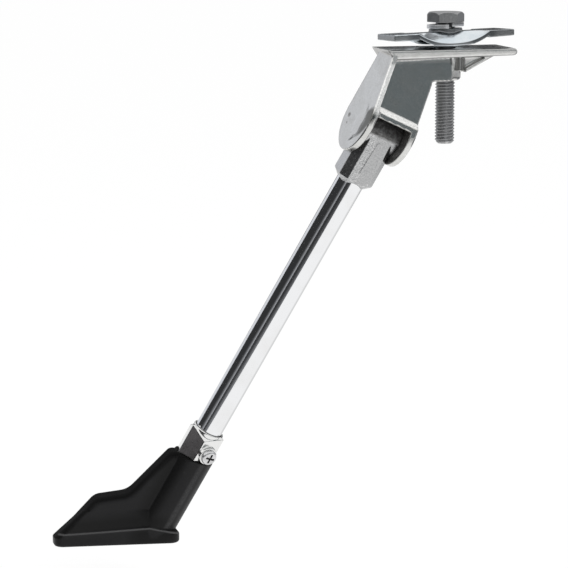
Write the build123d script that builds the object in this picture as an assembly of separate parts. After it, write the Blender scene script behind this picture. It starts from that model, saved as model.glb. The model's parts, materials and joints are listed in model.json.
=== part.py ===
from build123d import *

import os
from math import cos, pi, radians, sin, tan

# Centre-mount bicycle kickstand, in millimetres.
# The origin is on the clamp bolt's axis, at the top face of the cast bracket.
# +Z is up, +Y is towards the front of the bicycle and -X is its left side, where the leg stands.

# Bracket plate
PLATE_OUTER = 33.7
PLATE_INNER = 32.5
PLATE_WIDTH = 29.0
PLATE_ROOT_THICK = 4.8
PLATE_TIP_THICK = 3.6
PLATE_UNDERCUT = 3.2
PLATE_EDGE_ROUND = 0.8
BOSS_RADIUS = 7.6
BOSS_DEPTH = 16.0
BOSS_EDGE_CHAMFER = 1.0
BOSS_FLAT_END = 0.8
BOSS_FLAT_STEP = 1.2
BOSS_FLAT_WIDE = 16.8
GUSSET_REACH = 22.0
GUSSET_ROOT = 4.2
GUSSET_FLANGE = 2.0
GUSSET_WIDTH = 23.0
GUSSET_WEB = 19.0

# Leg directions when parked, and the swing
LEG_SPLAY = 26.5
LEG_RAKE = 15.0
SWING_TOE_IN = 5.0
PIVOT_X = -35.7
PIVOT_Y = -5.0
PIVOT_Z = -40.75

# Bracket neck and ears
OUTER_EAR_RADIUS = 17.3
INNER_EAR_RADIUS = 15.0
EAR_LIFT = 2.6
OUTER_EAR_SHIFT = 1.8
EAR_THICK = 3.5
EAR_DISH_RADIUS = 12.5
EAR_DISH_FLOOR = 4.6
EAR_DISH_DEPTH = 1.6
EAR_DISH_LIFT = 1.5
EAR_DISH_SHIFT = 3.0
NECK_LEAN = 27.0
LIP_TALL = 3.1
LIP_SLOPE = 3.9
POCKET_DEPTH = 3.6
POCKET_WALL = 2.9
JOINT_GAP = 0.8

# Knuckle
KNUCKLE_WIDTH = 18.6
KNUCKLE_DEPTH = 17.4
KNUCKLE_CORNER = 3.7
KNUCKLE_LENGTH = 28.0
KNUCKLE_END_CHAMFER = 3.0
SIDE_CLEARANCE = 0.25
SOCKET_DEPTH = 14.0

# Pivot pin and detent
PIN_RADIUS = 4.0
PIN_FLAT = 0.25
PIN_TAIL_RADIUS = 5.6
PIN_TAIL_THICK = 1.2
RUNNING_CLEARANCE = 0.06
SEAT_CLEARANCE = 0.02
PLUNGER_RADIUS = 3.5
PLUNGER_LENGTH = 7.0
PLUNGER_NOSE = 0.6
SPRING_LENGTH = 13.0
SPRING_WIRE = 0.9
SPRING_TURNS = 6
SPRING_SEAT_THICK = 4.0

# Leg tube
TUBE_RADIUS = 7.0
TUBE_WALL = 1.4
TUBE_END = 212.0

# Foot collar and its screw
COLLAR_TOP = 175.0
COLLAR_LENGTH = 15.0
COLLAR_FLATS = 17.4
COLLAR_RIM_RADIUS = 8.15
COLLAR_BEVEL = 3.8
COLLAR_TURN = 16.0
SPIGOT_RADIUS = 8.4
SPIGOT_LENGTH = 15.0
SCREW_ALONG = 0.68 * COLLAR_LENGTH
SCREW_RADIUS = 2.4
SCREW_HEAD_RADIUS = 4.0
SCREW_HEAD_THICK = 2.4
SCREW_BOSS_RADIUS = 4.7
SCREW_BOSS_REACH = 10.6
CROSS_LENGTH = 5.0
CROSS_WIDTH = 1.0
CROSS_DEPTH = 1.3

# Boot
SOLE_Z = -252.6
SOCK_RADIUS = 10.4
FIN_THICK = 10.0
BOOT_SLANT = 2.4
BOOT_SLANT_TURN = 47.0
FIN_DROP = 2.2
FIN_ROUND = 3.2
FLARE_LOW = 4.6
FLARE_HIGH = 19.0
INSTEP_ROUND = 9.0
TOE_CAP_ROUND = 7.0
BOOT_TOP_ROUND = 3.5
SOLE_TOE = 48.0
SOLE_HEEL = 15.6
SOLE_HEEL_WIDTH = 27.0
SOLE_TOE_WIDTH = 12.0
SOLE_CORNER = 5.0
SOLE_ROUND = 1.2
BOOT_TOP_INSET = 12.8
INSTEP_X = -10.5
INSTEP_Z = 27.6
TOE_CAP_X = -27.5
TOE_CAP_Z = 26.0
TOE_TIP_X = -45.6
TOE_TIP_Z = 5.4
BORE_FLOOR = 1.5

# Clamp plate, washer and bolt
CLAMP_LENGTH = 61.0
CLAMP_WIDTH = PLATE_WIDTH
CLAMP_THICK = 2.2
CLAMP_GAP = 5.4
CLAMP_TROUGH = 36.0
CLAMP_FLAT = 14.0
CLAMP_SHOULDER = 27.0
CLAMP_BASIN = 18.0
CLAMP_LAND_RADIUS = 8.2
CLAMP_LAND_TALL = 1.6
CLAMP_BEVEL = 1.3
CLAMP_TILT = 3.4
CLAMP_HOLE_RADIUS = 5.5
BOLT_RADIUS = 4.8
BOLT_LENGTH = 59.5
BOLT_FLATS = 16.0
BOLT_HEAD_TALL = 5.0
BOLT_END_CHAMFER = 1.4
BOLT_TURN = -9.7
THREAD_CLEARANCE = 0.08
WASHER_INNER = 5.15
WASHER_OUTER = 9.05
WASHER_THICK = 1.9
WASHER_RISE = 0.8
WASHER_SPLIT = -97.0

# Working frames
pivot = Vector(PIVOT_X, PIVOT_Y, PIVOT_Z)
down = Vector(-tan(radians(LEG_SPLAY)), tan(radians(LEG_RAKE)), -1).normalized()
heading = Vector(sin(radians(SWING_TOE_IN)), -cos(radians(SWING_TOE_IN)), 0)
across = down.cross(heading).normalized()
back = across.cross(down)
ear_gap = KNUCKLE_WIDTH + 2 * SIDE_CLEARANCE
ear_inside = ear_gap / 2
ear_outside = ear_inside + EAR_THICK
hub_radius = KNUCKLE_DEPTH / 2
slot_reach = hub_radius + JOINT_GAP
neck_reach = OUTER_EAR_RADIUS - PIVOT_Z
far = 2 * TUBE_END

# Side frame: local x runs down the leg, y towards the rear, z out along the pivot.
side = Plane(origin=pivot, x_dir=down, z_dir=across)
# Leg frame: local z runs down the leg, x out along the pivot.
leg = Plane(origin=pivot, x_dir=across, z_dir=down)
# Rear frame of the neck: local y runs down the leaning rear edge, z out of it.
rear_out = down * -sin(radians(NECK_LEAN)) + back * cos(radians(NECK_LEAN))
rear_offset = INNER_EAR_RADIUS + EAR_LIFT * sin(radians(NECK_LEAN))
rear = Plane(origin=pivot + rear_out * rear_offset, x_dir=across, z_dir=rear_out)


def along_leg(distance):
    """The leg frame moved down the leg."""
    return Plane(origin=pivot + down * distance, x_dir=across, z_dir=down)


def rod(radius, start, end):
    """A round bar on the leg's axis."""
    return along_leg(start) * extrude(Circle(radius), end - start)


def cross_bar(radius, start, end):
    """A round bar on the pivot's axis."""
    return side * Pos(0, 0, start) * extrude(Circle(radius), end - start)


def bolt_bar(radius, low, high):
    """A round bar on the clamp bolt's axis."""
    return Pos(0, 0, low) * extrude(Circle(radius), high - low)


def ear_outline(radius, shift):
    """The ear's round end with the neck's two edges drawn tangent to it."""
    lean = radians(NECK_LEAN)
    centre = Vector(-EAR_LIFT, -shift)
    rear_touch = centre + Vector(-sin(lean), cos(lean)) * radius
    rear_run = (neck_reach + rear_touch.X) / cos(lean)
    rear_top = rear_touch - Vector(cos(lean), sin(lean)) * rear_run
    front_touch = centre - Vector(0, radius)
    front_top = Vector(-neck_reach, front_touch.Y)
    bottom = centre + Vector(radius, 0)
    edge = Polyline(front_touch, front_top, rear_top, rear_touch)
    round_end = ThreePointArc(rear_touch, bottom, front_touch)
    return make_face(edge + round_end)


def slot_outline():
    """The space the knuckle swings in: square to both stops, rounded about the hub."""
    corner = -slot_reach * sin(pi / 4)
    round_corner = ThreePointArc((0, -slot_reach), (corner, corner), (-slot_reach, 0))
    edge = Polyline((-slot_reach, 0), (-slot_reach, far), (far, far), (far, -slot_reach), (0, -slot_reach))
    return make_face(edge + round_corner)


def make_bracket_plate():
    left = -PLATE_OUTER
    right = PLATE_INNER
    nose = PLATE_TIP_THICK / 2
    nose_top = (right - nose, 0)
    nose_low = (right - nose, -PLATE_TIP_THICK)
    outline = Polyline(nose_top, (left, 0), (left + PLATE_UNDERCUT, -PLATE_ROOT_THICK), nose_low)
    nose_arc = ThreePointArc(nose_low, (right, -nose), nose_top)
    section = Plane.XZ * make_face(outline + nose_arc)
    plate = extrude(section, PLATE_WIDTH / 2, both=True)
    return fillet(plate.edges().filter_by(Axis.X).group_by(Axis.Z)[-1], PLATE_EDGE_ROUND)


def make_gusset():
    root = (BOSS_RADIUS - 1.0, -BOSS_DEPTH + GUSSET_ROOT)
    tip = (GUSSET_REACH, -PLATE_TIP_THICK)
    inner_root = (root[0], root[1] + GUSSET_FLANGE)
    top_root = (root[0], -PLATE_TIP_THICK)
    flange_face = Plane.XZ * make_face(
        Polyline(root, tip, (tip[0] - 2 * GUSSET_FLANGE, tip[1]), inner_root, close=True)
    )
    web_face = Plane.XZ * make_face(Polyline(inner_root, tip, top_root, close=True))
    flange = extrude(flange_face, GUSSET_WIDTH / 2, both=True)
    return flange + extrude(web_face, GUSSET_WEB / 2, both=True)


def make_bracket():
    outer_outline = ear_outline(OUTER_EAR_RADIUS, OUTER_EAR_SHIFT)
    outer_ear = side * Pos(0, 0, ear_inside) * extrude(outer_outline, EAR_THICK)
    neck_outline = ear_outline(INNER_EAR_RADIUS, 0)
    neck = side * Pos(0, 0, -ear_outside) * extrude(neck_outline, ear_inside + ear_outside)
    lip_edge = slot_reach_on_rear() - LIP_TALL
    pocket_end = -neck_reach - INNER_EAR_RADIUS
    pocket_outline = Polyline(
        (pocket_end, -POCKET_DEPTH),
        (lip_edge - LIP_SLOPE, -POCKET_DEPTH),
        (lip_edge, 0),
        (lip_edge, INNER_EAR_RADIUS),
        (pocket_end, INNER_EAR_RADIUS),
        close=True,
    )
    pocket_frame = Plane(origin=rear.origin, x_dir=rear.y_dir, z_dir=rear.x_dir)
    pocket_wide = 2 * ear_outside
    pocket_start = Pos(0, 0, ear_outside - POCKET_WALL - pocket_wide)
    pocket = pocket_frame * pocket_start * extrude(make_face(pocket_outline), pocket_wide, dir=(0, 0, 1))
    slot = side * Pos(0, 0, -ear_inside) * extrude(slot_outline(), ear_gap)
    under_plate = Pos(0, 0, -PLATE_TIP_THICK / 2 - far / 2) * Box(far, far, far)
    neck = (neck + outer_ear - pocket - slot) & under_plate
    boss = bolt_bar(BOSS_RADIUS, -BOSS_DEPTH, -PLATE_TIP_THICK / 2)
    boss = chamfer(boss.edges().group_by(Axis.Z)[0], BOSS_EDGE_CHAMFER)
    # The boss is flat on its outer half, nearly level with the pocket, and joined to the neck there.
    flat_low = -POCKET_DEPTH + BOSS_FLAT_STEP
    flat_front = rear * Pos(0, 0, flat_low + far / 2) * Box(far, far, far)
    flat_side = Pos(BOSS_FLAT_END - far / 2, 0, 0) * Box(far, far, far)
    flat_tall = BOSS_DEPTH - PLATE_TIP_THICK / 2
    flat_web = Pos(BOSS_FLAT_END - BOSS_FLAT_WIDE / 2, -BOSS_RADIUS / 2, flat_tall / 2 - BOSS_DEPTH) * Box(
        BOSS_FLAT_WIDE, 2 * BOSS_RADIUS, flat_tall
    )
    boss = boss - (flat_front & flat_side) + (flat_web - flat_front)
    dish_floor = Pos(0, 0, ear_outside - EAR_DISH_DEPTH) * Circle(EAR_DISH_FLOOR)
    dish_rim = Pos(-EAR_DISH_LIFT, -EAR_DISH_SHIFT, ear_outside) * Circle(EAR_DISH_RADIUS)
    dish = side * loft([dish_floor, dish_rim])
    tail_seat = cross_bar(PIN_TAIL_RADIUS + SEAT_CLEARANCE, -far, -ear_outside + PIN_TAIL_THICK)
    pin_hole = cross_bar(PIN_RADIUS + SEAT_CLEARANCE, -far, far)
    bolt_hole = bolt_bar(BOLT_RADIUS + THREAD_CLEARANCE, -far, far)
    body = make_bracket_plate() + neck + boss + make_gusset()
    return body - dish - tail_seat - pin_hole - bolt_hole


def slot_reach_on_rear():
    """How far up the neck's rear edge the slot's flat stop comes out."""
    lean = radians(NECK_LEAN)
    return (-slot_reach + rear_offset * sin(lean)) / cos(lean)


def make_clamp_section(y, drop):
    """The clamp plate's section at one place along the bicycle, with its middle pressed down by drop."""
    half = CLAMP_LENGTH / 2
    bend = CLAMP_TROUGH / 2
    shoulder = CLAMP_SHOULDER / 2
    basin = CLAMP_BASIN / 2

    def surface(z, sign):
        trough = Spline(
            (sign * bend, z),
            (sign * shoulder, z - 0.5 * drop),
            (sign * basin, z - 0.81 * drop),
            (0, z - drop),
            (-sign * basin, z - 0.81 * drop),
            (-sign * shoulder, z - 0.5 * drop),
            (-sign * bend, z),
        )
        return [Line((sign * half, z), (sign * bend, z)), trough, Line((-sign * bend, z), (-sign * half, z))]

    low = CLAMP_GAP
    high = CLAMP_GAP + CLAMP_THICK
    edges = surface(high, 1) + [Line((-half, high), (-half, low))]
    edges += surface(low, -1) + [Line((half, low), (half, high))]
    return Plane(origin=(0, y, 0), x_dir=(1, 0, 0), z_dir=(0, -1, 0)) * make_face(Wire(edges))


def lean_over(solid):
    """Turns a loose clamp piece a little about the middle of the clamp plate's top face."""
    seat = CLAMP_GAP + CLAMP_THICK
    return Pos(0, 0, seat) * Rot(0, -CLAMP_TILT, 0) * Pos(0, 0, -seat) * solid


def clamp_rest(solid):
    """Leans a loose clamp piece over to its outer side and sets it down on the bracket."""
    return Pos(0, 0, -clamp_low) * lean_over(solid)


def make_flat_clamp_plate():
    flat = CLAMP_FLAT / 2
    edge = CLAMP_WIDTH / 2
    middle = (flat + edge) / 2
    sections = [
        make_clamp_section(-flat, 0),
        make_clamp_section(-middle, CLAMP_GAP * 0.4),
        make_clamp_section(-edge, CLAMP_GAP),
    ]
    rear_lip = loft(sections)
    front_lip = mirror(rear_lip, Plane.XZ)
    seat = Pos(0, 0, CLAMP_GAP + CLAMP_THICK / 2) * Box(CLAMP_LENGTH, CLAMP_FLAT, CLAMP_THICK)
    bevelled = Plane.YZ * make_face(
        Polyline(
            (-edge, far),
            (edge, far),
            (edge, CLAMP_BEVEL),
            (edge - CLAMP_BEVEL, 0),
            (edge - CLAMP_BEVEL, -far),
            (CLAMP_BEVEL - edge, -far),
            (CLAMP_BEVEL - edge, 0),
            (-edge, CLAMP_BEVEL),
            close=True,
        )
    )
    land_top = CLAMP_GAP + CLAMP_THICK + CLAMP_LAND_TALL
    land = bolt_bar(CLAMP_LAND_RADIUS, CLAMP_GAP + CLAMP_THICK / 2, land_top)
    plate = (seat + rear_lip + front_lip) & extrude(bevelled, far, both=True)
    plate = plate + land
    return plate - bolt_bar(CLAMP_HOLE_RADIUS, -far, far)


def make_clamp_plate():
    return clamp_rest(make_flat_clamp_plate())


def make_lock_washer():
    middle = (WASHER_INNER + WASHER_OUTER) / 2
    seat = CLAMP_GAP + CLAMP_THICK + CLAMP_LAND_TALL
    path = Helix(WASHER_RISE, WASHER_RISE * 0.97, middle, lefthand=True)
    section = Plane(origin=path @ 0, x_dir=(1, 0, 0), z_dir=path % 0) * Rectangle(
        WASHER_OUTER - WASHER_INNER, WASHER_THICK
    )
    ring = sweep(section, path=path, is_frenet=True)
    return clamp_rest(Pos(0, 0, seat - ring.bounding_box().min.Z) * Rot(0, 0, WASHER_SPLIT) * ring)


def make_clamp_bolt():
    seat = make_lock_washer().bounding_box().max.Z
    across_corners = BOLT_FLATS / cos(pi / 6)
    shank = bolt_bar(BOLT_RADIUS, seat - BOLT_LENGTH, seat)
    shank = chamfer(shank.edges().group_by(Axis.Z)[0], BOLT_END_CHAMFER)
    hexagon = extrude(RegularPolygon(across_corners / 2, 6), BOLT_HEAD_TALL)
    crown = (across_corners - BOLT_FLATS) / 2
    blank = chamfer(extrude(Circle(across_corners / 2), BOLT_HEAD_TALL).edges().group_by(Axis.Z)[-1], crown)
    return Pos(0, 0, seat) * Rot(0, 0, BOLT_TURN) * (hexagon & blank) + shank


def make_pivot_pin():
    pin = cross_bar(PIN_RADIUS, -ear_outside, ear_outside - EAR_DISH_DEPTH)
    pin += cross_bar(PIN_TAIL_RADIUS, -ear_outside, -ear_outside + PIN_TAIL_THICK)
    flat_cut = Box(2 * PIN_RADIUS, 2 * PIN_RADIUS, 2 * PLUNGER_RADIUS)
    flat_reach = 2 * PIN_RADIUS - PIN_FLAT
    parked_flat = side * Pos(flat_reach, 0, 0) * flat_cut
    folded_flat = side * Pos(0, flat_reach, 0) * flat_cut
    return pin - parked_flat - folded_flat


def make_knuckle():
    half_wide = KNUCKLE_WIDTH / 2
    half_deep = KNUCKLE_DEPTH / 2
    block = chamfer(Rectangle(KNUCKLE_WIDTH, KNUCKLE_DEPTH).vertices(), KNUCKLE_CORNER)
    shank = extrude(block, KNUCKLE_LENGTH)
    shank = chamfer(shank.edges().group_by(Axis.Z)[-1], KNUCKLE_END_CHAMFER)
    hub = cross_bar(half_deep, -half_wide, half_wide)
    pin_bore = cross_bar(PIN_RADIUS + RUNNING_CLEARANCE, -far, far)
    socket = rod(TUBE_RADIUS + SEAT_CLEARANCE, SOCKET_DEPTH, far)
    plunger_bore = rod(PLUNGER_RADIUS + RUNNING_CLEARANCE, 0, far)
    return leg * shank + hub - pin_bore - socket - plunger_bore


def make_plunger():
    start = PIN_RADIUS + RUNNING_CLEARANCE
    body = extrude(Circle(PLUNGER_RADIUS), PLUNGER_LENGTH)
    body = chamfer(body.edges().group_by(Axis.Z)[0], PLUNGER_NOSE)
    return along_leg(start) * body


def make_spring():
    coil_radius = PLUNGER_RADIUS - SPRING_WIRE / 2 - RUNNING_CLEARANCE
    start = PIN_RADIUS + RUNNING_CLEARANCE + PLUNGER_LENGTH + SPRING_WIRE / 2 + RUNNING_CLEARANCE
    height = SPRING_LENGTH - SPRING_WIRE
    path = Helix(height / SPRING_TURNS, height, coil_radius)
    section = Plane(origin=path @ 0, z_dir=path % 0) * Circle(SPRING_WIRE / 2)
    return along_leg(start) * sweep(section, path=path, is_frenet=True)


def make_spring_seat():
    start = PIN_RADIUS + 2 * RUNNING_CLEARANCE + PLUNGER_LENGTH + SPRING_LENGTH + RUNNING_CLEARANCE
    return rod(TUBE_RADIUS - TUBE_WALL - SEAT_CLEARANCE, start, start + SPRING_SEAT_THICK)


def make_tube():
    return rod(TUBE_RADIUS, SOCKET_DEPTH, TUBE_END) - rod(TUBE_RADIUS - TUBE_WALL, 0, far)


def screw_frame(radius):
    """A frame on the collar screw's axis, at a distance from the leg's axis, facing out."""
    turn = radians(COLLAR_TURN)
    outward = back * cos(turn) - across * sin(turn)
    origin = pivot + down * (COLLAR_TOP + SCREW_ALONG) + outward * radius
    return Plane(origin=origin, x_dir=down, z_dir=outward)


def below_boot_top(shift):
    """Everything under the boot's slanting top, which is lowest at its outer front side."""
    turn = radians(BOOT_SLANT_TURN)
    low_side = across * cos(turn) - back * sin(turn)
    facing = (down - low_side * (BOOT_SLANT / (2 * SOCK_RADIUS))).normalized()
    origin = pivot + down * (COLLAR_TOP + COLLAR_LENGTH + BOOT_SLANT / 2 + shift)
    return Plane(origin=origin, z_dir=facing) * Pos(0, 0, far / 2) * Box(far, far, far)


def make_collar():
    corner_radius = COLLAR_FLATS / 2 / cos(pi / 6)
    half = corner_radius / 2
    corner_angle = -60 - COLLAR_TURN
    block = extrude(Rot(0, 0, corner_angle) * RegularPolygon(corner_radius, 6), COLLAR_LENGTH + BOOT_SLANT)
    # Every other corner of the hexagon is sliced off at the top, down to the next two corners.
    slice_face = Plane.XZ * make_face(
        Polyline((half, 0), (3 * half, 2 * COLLAR_BEVEL), (3 * half, -half), (half, -half), close=True)
    )
    corner_slice = extrude(slice_face, 2 * corner_radius, both=True)
    for turn in (0, 120, 240):
        block = block - Rot(0, 0, corner_angle + turn) * corner_slice
    block = block + extrude(Circle(COLLAR_RIM_RADIUS), COLLAR_LENGTH)
    sleeve = along_leg(COLLAR_TOP) * block - below_boot_top(0)
    boss = screw_frame(0) * extrude(Circle(SCREW_BOSS_RADIUS), SCREW_BOSS_REACH)
    spigot = rod(SPIGOT_RADIUS, COLLAR_TOP + COLLAR_LENGTH, COLLAR_TOP + COLLAR_LENGTH + SPIGOT_LENGTH)
    bore = rod(TUBE_RADIUS + RUNNING_CLEARANCE, 0, far)
    screw_hole = screw_frame(0) * extrude(Circle(SCREW_RADIUS + SEAT_CLEARANCE), far)
    return sleeve + boss + spigot - bore - screw_hole


def make_collar_screw():
    tip = TUBE_RADIUS + 2 * RUNNING_CLEARANCE
    seat = SCREW_BOSS_REACH + SEAT_CLEARANCE
    shank = screw_frame(tip) * extrude(Circle(SCREW_RADIUS), seat - tip)
    head = extrude(Circle(SCREW_HEAD_RADIUS), SCREW_HEAD_THICK)
    head = fillet(head.edges().group_by(Axis.Z)[-1], SCREW_HEAD_THICK * 0.6)
    arm = Pos(0, 0, SCREW_HEAD_THICK - CROSS_DEPTH / 2) * Box(CROSS_LENGTH, CROSS_WIDTH, CROSS_DEPTH)
    head = head - arm - Rot(0, 0, 90) * arm
    return screw_frame(seat) * head + shank


def make_boot():
    sole_run = (SOLE_Z - PIVOT_Z) / down.Z
    sole_centre = pivot + down * sole_run
    boot_start = COLLAR_TOP + COLLAR_LENGTH + SEAT_CLEARANCE
    fin_up = Vector(0, -down.Y, -down.Z).normalized()
    fin_out = Vector(1, 0, 0).cross(fin_up)
    fin_frame = Plane(origin=sole_centre, x_dir=(1, 0, 0), z_dir=fin_out)
    rise = 1 / fin_up.Z
    lean = fin_up.Y / fin_up.Z

    # The fin's side view, from the top of the sock over the instep and the toe cap to the sole.
    top = fin_frame.to_local_coords(pivot + down * (boot_start + FIN_DROP))
    leg_run = (fin_frame.to_local_coords(sole_centre) - top).normalized()
    side_run = Vector(leg_run.Y, -leg_run.X, 0)
    top_left = top + side_run * BOOT_TOP_INSET
    instep = (INSTEP_X, INSTEP_Z * rise)
    toe_cap = (TOE_CAP_X, TOE_CAP_Z * rise)
    outline = make_face(
        Polyline(
            (top.X, top.Y),
            (top_left.X, top_left.Y),
            instep,
            toe_cap,
            (TOE_TIP_X, TOE_TIP_Z * rise),
            (-SOLE_TOE, 0),
            (-SOLE_TOE, -SOLE_HEEL_WIDTH),
            (0, -SOLE_HEEL_WIDTH),
            close=True,
        )
    )
    outline = fillet(outline.vertices().sort_by_distance((top_left.X, top_left.Y))[0], BOOT_TOP_ROUND)
    outline = fillet(outline.vertices().sort_by_distance(instep)[0], INSTEP_ROUND)
    outline = fillet(outline.vertices().sort_by_distance(toe_cap)[0], TOE_CAP_ROUND)
    web = extrude(outline, FIN_THICK / 2, both=True)
    web = fillet(web.edges().group_by(Axis.Z)[0] + web.edges().group_by(Axis.Z)[-1], FIN_ROUND)
    sock = rod(SOCK_RADIUS, boot_start, sole_run + 2 * SOCK_RADIUS) & below_boot_top(SEAT_CLEARANCE)
    above_tread = Pos(sole_centre.X, sole_centre.Y, SOLE_Z + FLARE_LOW / 2 + far / 2) * Box(far, far, far)

    # The sole: a plan that narrows to the toe, upright sides, then a flare up into the fin.
    heel = SOLE_HEEL_WIDTH / 2
    toe = SOLE_TOE_WIDTH / 2
    sole_plan = make_face(
        Polyline((SOLE_HEEL, -heel), (SOLE_HEEL, heel), (-SOLE_TOE, toe), (-SOLE_TOE, -toe), close=True)
    )
    sole_plan = fillet(sole_plan.vertices(), SOLE_CORNER)
    tread = extrude(sole_plan, FLARE_LOW)
    tread = fillet(tread.edges().group_by(Axis.Z)[0], SOLE_ROUND)
    toe_slope = (TOE_CAP_X - TOE_TIP_X) / (TOE_CAP_Z - TOE_TIP_Z)
    ridge_toe = TOE_CAP_X - toe_slope * (TOE_CAP_Z - FLARE_HIGH)
    ridge = Pos(ridge_toe / 2, lean * FLARE_HIGH, FLARE_HIGH) * fillet(
        Rectangle(-ridge_toe, FIN_THICK).vertices(), FIN_ROUND
    )
    flare = loft([Pos(0, 0, FLARE_LOW) * sole_plan, ridge])
    sole = Pos(sole_centre.X, sole_centre.Y, SOLE_Z) * (tread + flare)
    spigot_bore = rod(
        SPIGOT_RADIUS + SEAT_CLEARANCE, 0, COLLAR_TOP + COLLAR_LENGTH + SPIGOT_LENGTH + SEAT_CLEARANCE
    )
    tube_bore = rod(TUBE_RADIUS + RUNNING_CLEARANCE, 0, TUBE_END + BORE_FLOOR)
    upper = (fin_frame * web + sock) & above_tread
    return upper + sole - spigot_bore - tube_bore


clamp_low = lean_over(make_flat_clamp_plate()).bounding_box().min.Z

nodes = {
    "mount_bracket": make_bracket,
    "clamp_plate": make_clamp_plate,
    "lock_washer": make_lock_washer,
    "clamp_bolt": make_clamp_bolt,
    "pivot_pin": make_pivot_pin,
    "leg_knuckle": make_knuckle,
    "detent_plunger": make_plunger,
    "detent_spring": make_spring,
    "spring_seat": make_spring_seat,
    "leg_tube": make_tube,
    "foot_collar": make_collar,
    "collar_screw": make_collar_screw,
    "foot_boot": make_boot,
}

os.makedirs("parts", exist_ok=True)
for name, make in nodes.items():
    solid = make()
    solid.label = name
    export_step(solid, f"parts/{name}.step")
    print(name, round(solid.volume), "mm3")
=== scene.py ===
# %% [markdown]
# A bolt-on bicycle kickstand: a cast bracket is clamped to the frame stays by one long bolt, and a
# chromed leg folds on a pin in the bracket's fork. The leg ends in a collar and a black plastic
# boot that slide along the tube to suit the wheel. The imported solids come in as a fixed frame, in
# metres, so each finished piece goes where its solid is.

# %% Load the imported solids
import json
import math

import bmesh
import bpy
from mathutils import Matrix, Vector


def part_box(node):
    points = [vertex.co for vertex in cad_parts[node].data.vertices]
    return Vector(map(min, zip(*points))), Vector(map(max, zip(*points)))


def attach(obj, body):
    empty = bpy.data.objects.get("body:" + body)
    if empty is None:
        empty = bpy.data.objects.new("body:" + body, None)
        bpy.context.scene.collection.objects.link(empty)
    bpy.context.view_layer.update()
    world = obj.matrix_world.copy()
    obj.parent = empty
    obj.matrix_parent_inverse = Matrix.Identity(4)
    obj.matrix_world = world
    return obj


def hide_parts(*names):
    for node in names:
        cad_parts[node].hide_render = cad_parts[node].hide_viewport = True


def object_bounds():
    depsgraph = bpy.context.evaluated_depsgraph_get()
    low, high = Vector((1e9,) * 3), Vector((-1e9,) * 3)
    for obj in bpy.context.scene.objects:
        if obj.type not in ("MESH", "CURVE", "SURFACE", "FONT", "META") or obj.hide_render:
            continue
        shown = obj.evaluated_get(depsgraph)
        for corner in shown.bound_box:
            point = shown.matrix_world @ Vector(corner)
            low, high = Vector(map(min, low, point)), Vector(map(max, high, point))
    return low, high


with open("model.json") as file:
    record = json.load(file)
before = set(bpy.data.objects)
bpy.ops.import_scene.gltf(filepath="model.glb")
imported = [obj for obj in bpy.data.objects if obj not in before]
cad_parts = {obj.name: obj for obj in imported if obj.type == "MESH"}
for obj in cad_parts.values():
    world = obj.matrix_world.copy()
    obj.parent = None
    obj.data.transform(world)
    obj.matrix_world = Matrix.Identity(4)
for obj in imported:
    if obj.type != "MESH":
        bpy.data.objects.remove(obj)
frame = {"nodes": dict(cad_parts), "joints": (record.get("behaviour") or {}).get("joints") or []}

solid_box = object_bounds()
scene = bpy.context.scene
scene.view_settings.view_transform = "Standard"
print("solids:", ", ".join(sorted(frame["nodes"])))

# %% [markdown]
# Everything on the leg is measured from the fold pin: across the fork, down the leg, and out of
# the leg's front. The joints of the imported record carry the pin's place and these directions, so
# they are read from there and not typed in again.

# %% Directions of the leg
MM = 0.001

joints = {joint["name"]: joint for joint in frame["joints"]}
PIN = Vector(joints["leg_fold"]["pos_m"])
ACROSS = Vector(joints["leg_fold"]["axis"]).normalized()
DOWN = Vector(joints["foot_extend"]["axis"]).normalized()
FRONT = ACROSS.cross(DOWN).normalized()
print("pin", [round(c / MM, 2) for c in PIN], "leg", [round(c, 3) for c in DOWN])

# %% [markdown]
# The photograph was taken from in front and a little above, with the lens far away. A long lens
# at 1.2 metres gives the same small convergence. The camera's own axes are written out as a
# matrix, because the object's origin has to land on one known point of the picture.

# %% Camera
VIEW_TURN = math.radians(-14.5)
VIEW_RISE = math.radians(9.5)
VIEW_DISTANCE = 1.2
PICTURE = 568
FOCAL_PIXELS = 2449.0
ORIGIN_IN_PICTURE = (445.4, 47.2)

look_right = Vector((math.cos(VIEW_TURN), math.sin(VIEW_TURN), 0.0))
look_back = Vector((
    math.sin(VIEW_TURN) * math.cos(VIEW_RISE),
    -math.cos(VIEW_TURN) * math.cos(VIEW_RISE),
    math.sin(VIEW_RISE),
))
look_up = look_back.cross(look_right)
per_pixel = VIEW_DISTANCE / FOCAL_PIXELS
aside = (ORIGIN_IN_PICTURE[0] - PICTURE / 2) * per_pixel
above = (PICTURE / 2 - ORIGIN_IN_PICTURE[1]) * per_pixel
eye = look_back * VIEW_DISTANCE - look_right * aside - look_up * above

camera_data = bpy.data.cameras.new("camera")
camera_data.sensor_width = 36.0
camera_data.lens = FOCAL_PIXELS / PICTURE * camera_data.sensor_width
camera_data.clip_end = 100.0


def placed(name, data):
    made = bpy.data.objects.new(name, data)
    scene.collection.objects.link(made)
    return made


camera = placed("camera", camera_data)
axes = Matrix((look_right, look_up, look_back)).transposed()
camera.matrix_world = Matrix.Translation(eye) @ axes.to_4x4()
scene.camera = camera
print("lens", round(camera_data.lens, 1), "eye", [round(c, 3) for c in eye])

# %% [markdown]
# A finish is a small machine of nodes. Written as sums in Python it can be read like the recipe
# that it is, so one class wraps a socket and turns + - and * into Math nodes, and a second one
# holds the node tree and adds every other kind of node by its type, settings and sockets.

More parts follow.
